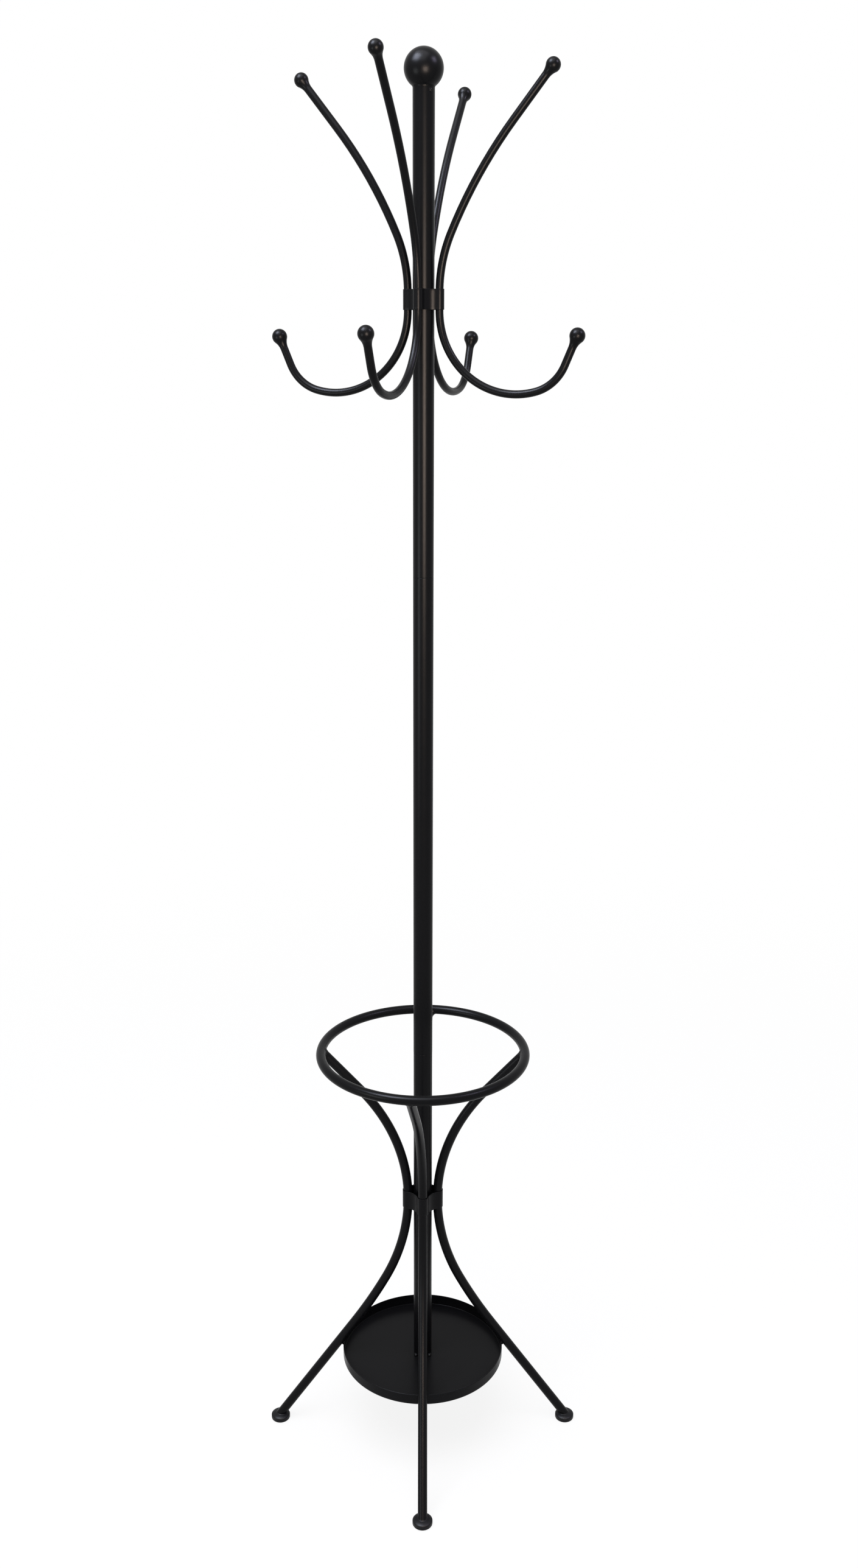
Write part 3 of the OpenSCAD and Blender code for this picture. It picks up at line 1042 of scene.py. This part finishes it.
@dataclass
class DripTray:
    """Round tray of pressed sheet, its welds to the legs, and the tacks that hold the post.

    bead and tack are the welds' radii, and bead_out is how far a bead's axis lies outside
    the rim.
    """

    workshop: Workshop
    sheet: float = 1.2 * MM
    corner: float = 3.5 * MM
    inner_corner: float = 0.6 * MM
    around: int = 240
    bead: float = 1.2 * MM
    bead_length: float = 6 * MM
    bead_out: float = 0.6 * MM
    bead_ripple: float = 0.1
    bead_ripples: float = 4.5
    tack: float = 3 * MM
    tack_turn: float = math.radians(45)
    tack_wave: float = 0.06
    tack_waves: int = 3
    tack_around: int = 48

    def build(self) -> None:
        """Makes the tray and its welds."""
        low, high = node_size("drip_tray")
        self.radius, self.base, self.top = high[0], low[2], high[2]
        self.floor = self.base + self.sheet
        self.workshop.piece("tray_pan", self.pan(), Body.BASE, "drip_tray")
        self.workshop.piece("tray_rim_welds", self.rim_welds(), Body.BASE, "tray_welds")
        self.workshop.piece("post_foot_tacks", self.tacks(), Body.BASE, "post_base_welds")

    def pan(self) -> Shell:
        """Tray with a round corner below and a rounded edge on its rim.

        Returns:
            The closed surface.
        """
        edge, bend = self.sheet / 2, self.inner_corner
        inner = self.radius - self.sheet
        share = np.linspace(0, 1, 12)[:, None]
        under = [0, self.base] + share * [self.radius - self.corner - MM, 0]
        over = [0, self.floor] + share[::-1] * [inner - bend - MM, 0]
        profile = np.vstack([
            under,
            arc((self.radius - self.corner, self.base + self.corner), self.corner, -90, 0, 10),
            wall(self.radius, self.base + self.corner, self.top - edge),
            arc((self.radius - edge, self.top - edge), edge, 0, 180, 13),
            wall(inner, self.floor + bend, self.top - edge)[::-1],
            arc((inner - bend, self.floor + bend), bend, 0, -90, 8),
            over,
        ])
        return turned_solid(profile, Axes.upright(), self.around)

    def rim_welds(self) -> Shell:
        """Short bead on each leg where the rim is next to it.

        At a share s of its half length the bead's radius is the fourth-power dome
        sqrt(1 - s^4), with ripples on it.

        Returns:
            The four closed surfaces.
        """
        way = np.linspace(-1, 1, 41)
        ripple = self.bead_ripple * np.abs(np.sin(self.bead_ripples * math.pi * way))
        swell = np.sqrt(1 - way**4) * (1 + ripple)
        profile = np.stack([self.bead * swell, way * self.bead_length / 2], -1)
        shells = []
        for side in Side:
            out = level(side.azimuth())
            place = (self.radius + self.bead_out) * out + (self.top - self.bead) * UP
            shells.append(turned_solid(profile, Axes.pointing(place, np.cross(UP, out)), 28))
        return together(shells)

    def tacks(self) -> Shell:
        """Two tack welds beside the post: balls, half sunk, whose radius waves a little.

        Returns:
            The two closed surfaces.
        """
        post, lift = node_size("lower_post")[1][0], self.tack / 4
        shells = []
        for way in (-1, 1):
            ball = arc((0, 0), self.tack, -88, 88, 25)
            rings = revolved(ball, Axes.upright(), self.tack_around)
            waves = np.sin(self.tack_waves * full_turn(self.tack_around) + way)
            rings[:, :, :2] *= (1 + self.tack_wave * waves)[None, :, None]
            out = level(Side.FRONT.azimuth(way * self.tack_turn))
            shift = (post + lift) * out + (self.floor + lift) * UP
            poles = np.outer([-self.tack, self.tack], UP) + shift
            shells.append(skin(rings + shift, poles))
        return together(shells)


@dataclass
class Feet:
    """Moulded buns pushed onto the legs' ends, each with a collar round its leg."""

    workshop: Workshop
    base: UmbrellaBase
    side_height: float = 6 * MM
    edge: float = 2.2 * MM
    collar: WeldCollar = WeldCollar(1.0 * MM, 0.7 * MM)

    def build(self) -> None:
        """Makes the four feet."""
        low, high = node_size("foot_right")
        self.radius, self.height = (high[0] - low[0]) / 2, high[2]
        dome = arc((0, 0), 1.0, 0, 90, 25) * [self.radius, self.height - self.side_height]
        profile = np.vstack([
            [[0, 0]],
            arc((self.radius - self.edge, self.edge), self.edge, -90, 0, 9),
            wall(self.radius, self.edge, self.side_height),
            dome + [0, self.side_height],
        ])
        for side in Side:
            place = self.base.foot_radius * level(side.azimuth())
            line = self.base.lower_line(side)
            end = line.points[-1] - place, line.headings[-1], self.base.leg / 2
            collar = self.collar.shell(*end, self.from_foot)
            bun = together([turned_solid(profile, Axes.upright(), 80), collar])
            bun.points += place
            name = f"{side.label}_foot_bun"
            self.workshop.piece(name, bun, Body.BASE, f"foot_{side.label}", Slot.FEET)

    def from_foot(self, points: np.ndarray) -> np.ndarray:
        """Distance of points from the dome and side of a foot, near its surface.

        Args:
            points: Points, seen from the middle of the foot's sole.

        Returns:
            Their distances, positive outside the foot.
        """
        out = np.hypot(points[:, 0], points[:, 1]) / self.radius
        rise = self.height - self.side_height
        up = np.maximum(points[:, 2] - self.side_height, 0) / rise
        return (np.hypot(out, up) - 1) * rise


# ---- studio


@dataclass(frozen=True)
class Softbox:
    """Area lamp that faces a height on the post.

    A panel that is for the gloss alone shows in the coat and lights nothing. Its flags
    keep its light off the pieces that they name.
    """

    name: str
    place: tuple[float, float, float]
    aim_height: float
    width: float
    height: float
    radiance: float
    colour: str
    gloss_alone: bool = False
    flags: tuple[str, ...] = ()


@dataclass
class Studio:
    """Camera, white world, pale floor and soft lamps.

    The warm panel is flagged off the ring and the tray, because from behind its light
    would burn out the ring's edge and tint the tray's floor.
    """

    camera_place: tuple[float, float, float] = (0.0, -1.8533, 1.5052)
    pitch: float = math.radians(74.01)
    yaw: float = -0.0041
    roll: float = 0.00203
    lens: float = 34.08
    sensor: float = 36.0
    sight: float = 100.0
    ambient: float = 0.55
    floor_colour: str = "#f7f7f7"
    floor_glow: tuple[float, float] = (0.85, 1.0)
    floor_fade: tuple[float, float] = (0.6, 2.6)
    floor_radius: float = 25.0
    floor_points: int = 96
    lamps: tuple[Softbox, ...] = (
        Softbox("soft_top", (-0.6, -1.2, 4.2), 0.9, 3.0, 3.0, 5.6, "#f8f8ff"),
        Softbox("cool_panel", (-1.3, -0.86, 3.6), 1.4, 1.3, 1.3, 46, "#e2eaff", True),
        Softbox("violet_panel", (1.85, -0.67, 3.15), 1.4, 0.8, 0.8, 24, "#e4dcff", True),
        Softbox(
            "warm_panel", (0.265, -1.54, 1.41), 1.41, 0.62, 0.68, 38, "#ffe8d6", True,
            flags=("umbrella_hoop", "tray_pan"),
        ),
        Softbox("side_panel", (-1.85, -1.55, 0.95), 1.4, 0.9, 0.9, 9, "#eef4f4", True),
    )

    def build(self) -> None:
        """Sets up everything round the object."""
        scene = bpy.context.scene
        scene.view_settings.view_transform = "Standard"
        self.camera()
        self.world()
        self.floor()
        for lamp in self.lamps:
            self.softbox(lamp)

    def camera(self) -> None:
        """Makes the camera that sees the object as a standing person does."""
        data = bpy.data.cameras.new("camera")
        data.lens, data.sensor_width, data.sensor_fit = self.lens, self.sensor, "AUTO"
        data.clip_end = self.sight
        camera = bpy.data.objects.new("camera", data)
        bpy.context.scene.collection.objects.link(camera)
        camera.matrix_world = (
            Matrix.Translation(self.camera_place)
            @ Matrix.Rotation(self.yaw, 4, "Z")
            @ Matrix.Rotation(self.pitch, 4, "X")
            @ Matrix.Rotation(self.roll, 4, "Z")
        )
        bpy.context.scene.camera = camera

    def seen_rays(self, tree: bpy.types.NodeTree) -> bpy.types.NodeSocket:
        """Adds nodes whose value is 1 for camera, glossy and transmission rays.

        Args:
            tree: Node tree.

        Returns:
            The socket that holds the value.
        """
        rays_of = add_node(tree, "ShaderNodeLightPath").outputs
        seen = rays_of["Is Camera Ray"]
        for kind in ("Is Glossy Ray", "Is Transmission Ray"):
            links = {0: seen, 1: rays_of[kind]}
            larger = add_node(tree, "ShaderNodeMath", {"operation": "MAXIMUM"}, links=links)
            seen = larger.outputs[0]
        return seen

    def world(self) -> None:
        """White world for what is seen, and an even grey one for what it lights."""
        world = bpy.data.worlds.new("white_studio")
        bpy.context.scene.world = world
        world.use_nodes = True
        tree = world.node_tree
        tree.nodes.clear()
        lit, seen = (
            add_node(tree, "ShaderNodeBackground", values={"Color": WHITE, "Strength": strength})
            for strength in (self.ambient, 1.0)
        )
        links = {0: self.seen_rays(tree), 1: lit.outputs[0], 2: seen.outputs[0]}
        mix = add_node(tree, "ShaderNodeMixShader", links=links)
        add_node(tree, "ShaderNodeOutputWorld", links={"Surface": mix.outputs[0]})

    def floor(self) -> None:
        """Pale round floor with a soft shadow, which fades to plain white away from the rack."""
        points = Axes.upright().spokes(full_turn(self.floor_points)) * self.floor_radius
        mesh = bpy.data.meshes.new("studio_floor")
        mesh.from_pydata(points.tolist(), [], [list(range(self.floor_points))])
        floor = bpy.data.objects.new("studio_floor", mesh)
        bpy.context.scene.collection.objects.link(floor)
        made = bpy.data.materials.new("pale_floor")
        made.use_nodes = True
        tree = made.node_tree
        tree.nodes.clear()
        matt = add_node(tree, "ShaderNodeBsdfDiffuse", None, {"Color": linear(self.floor_colour)})
        glow = add_node(tree, "ShaderNodeEmission", values={"Color": WHITE, "Strength": 1.0})
        place = add_node(tree, "ShaderNodeTexCoord").outputs["Object"]
        far = add_node(tree, "ShaderNodeVectorMath", {"operation": "LENGTH"}, links={0: place})
        fade = {"interpolation_type": "SMOOTHSTEP"}
        values = dict(zip(RANGE, (*self.floor_fade, *self.floor_glow)))
        links = {"Value": far.outputs["Value"]}
        near = add_node(tree, "ShaderNodeMapRange", fade, values, links)
        links = {0: self.seen_rays(tree), 1: near.outputs[0]}
        share = add_node(tree, "ShaderNodeMath", {"operation": "MULTIPLY"}, links=links)
        links = {0: share.outputs[0], 1: matt.outputs[0], 2: glow.outputs[0]}
        mix = add_node(tree, "ShaderNodeMixShader", links=links)
        add_node(tree, "ShaderNodeOutputMaterial", links={"Surface": mix.outputs[0]})
        mesh.materials.append(made)

    def softbox(self, lamp: Softbox) -> None:
        """Hangs a lamp. An even panel of area A and radiance L gives off pi A L watts.

        Args:
            lamp: The lamp's place, size and level.
        """
        data = bpy.data.lights.new(lamp.name, "AREA")
        data.shape, data.size, data.size_y = "RECTANGLE", lamp.width, lamp.height
        data.energy = math.pi * lamp.width * lamp.height * lamp.radiance
        data.color = linear(lamp.colour)[:3]
        made = bpy.data.objects.new(lamp.name, data)
        bpy.context.scene.collection.objects.link(made)
        made.location = lamp.place
        way = Vector((0, 0, lamp.aim_height)) - Vector(lamp.place)
        made.rotation_euler = way.to_track_quat("-Z", "Y").to_euler()
        made.visible_diffuse = not lamp.gloss_alone
        if lamp.flags:
            shaded = bpy.data.collections.new(f"{lamp.name}_flags")
            for piece in lamp.flags:
                shaded.objects.link(bpy.data.objects[piece])
            for entry in shaded.collection_objects:
                entry.light_linking.link_state = "EXCLUDE"
            made.light_linking.receiver_collection = shaded


def dress_hardware(frame: dict, zinc: bpy.types.Material) -> None:
    """Gives the screw joints inside the post their own finish.

    Args:
        frame: The loaded frame.
        zinc: Material of the zinc plate.
    """
    for joint in ("lower_joint", "upper_joint"):
        for part in ("socket", "stud"):
            node = frame["nodes"][f"{joint}_{part}"]
            node.data.materials.clear()
            node.data.materials.append(zinc)
            LOG.info("%s_%s: zinc plated", joint, part)


def main() -> None:
    """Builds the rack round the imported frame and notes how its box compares."""
    logging.basicConfig(level=logging.INFO, format="%(name)s: %(message)s")
    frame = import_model()
    workshop = Workshop({slot: finish.material() for slot, finish in FINISHES.items()})
    Post(workshop).build()
    dress_hardware(frame, workshop.materials[Slot.ZINC])
    Finial(workshop).build()
    HookCluster(workshop).build()
    base = UmbrellaBase(workshop)
    base.build()
    DripTray(workshop).build()
    Feet(workshop, base).build()
    Studio().build()


if __name__ == "__main__":
    main()
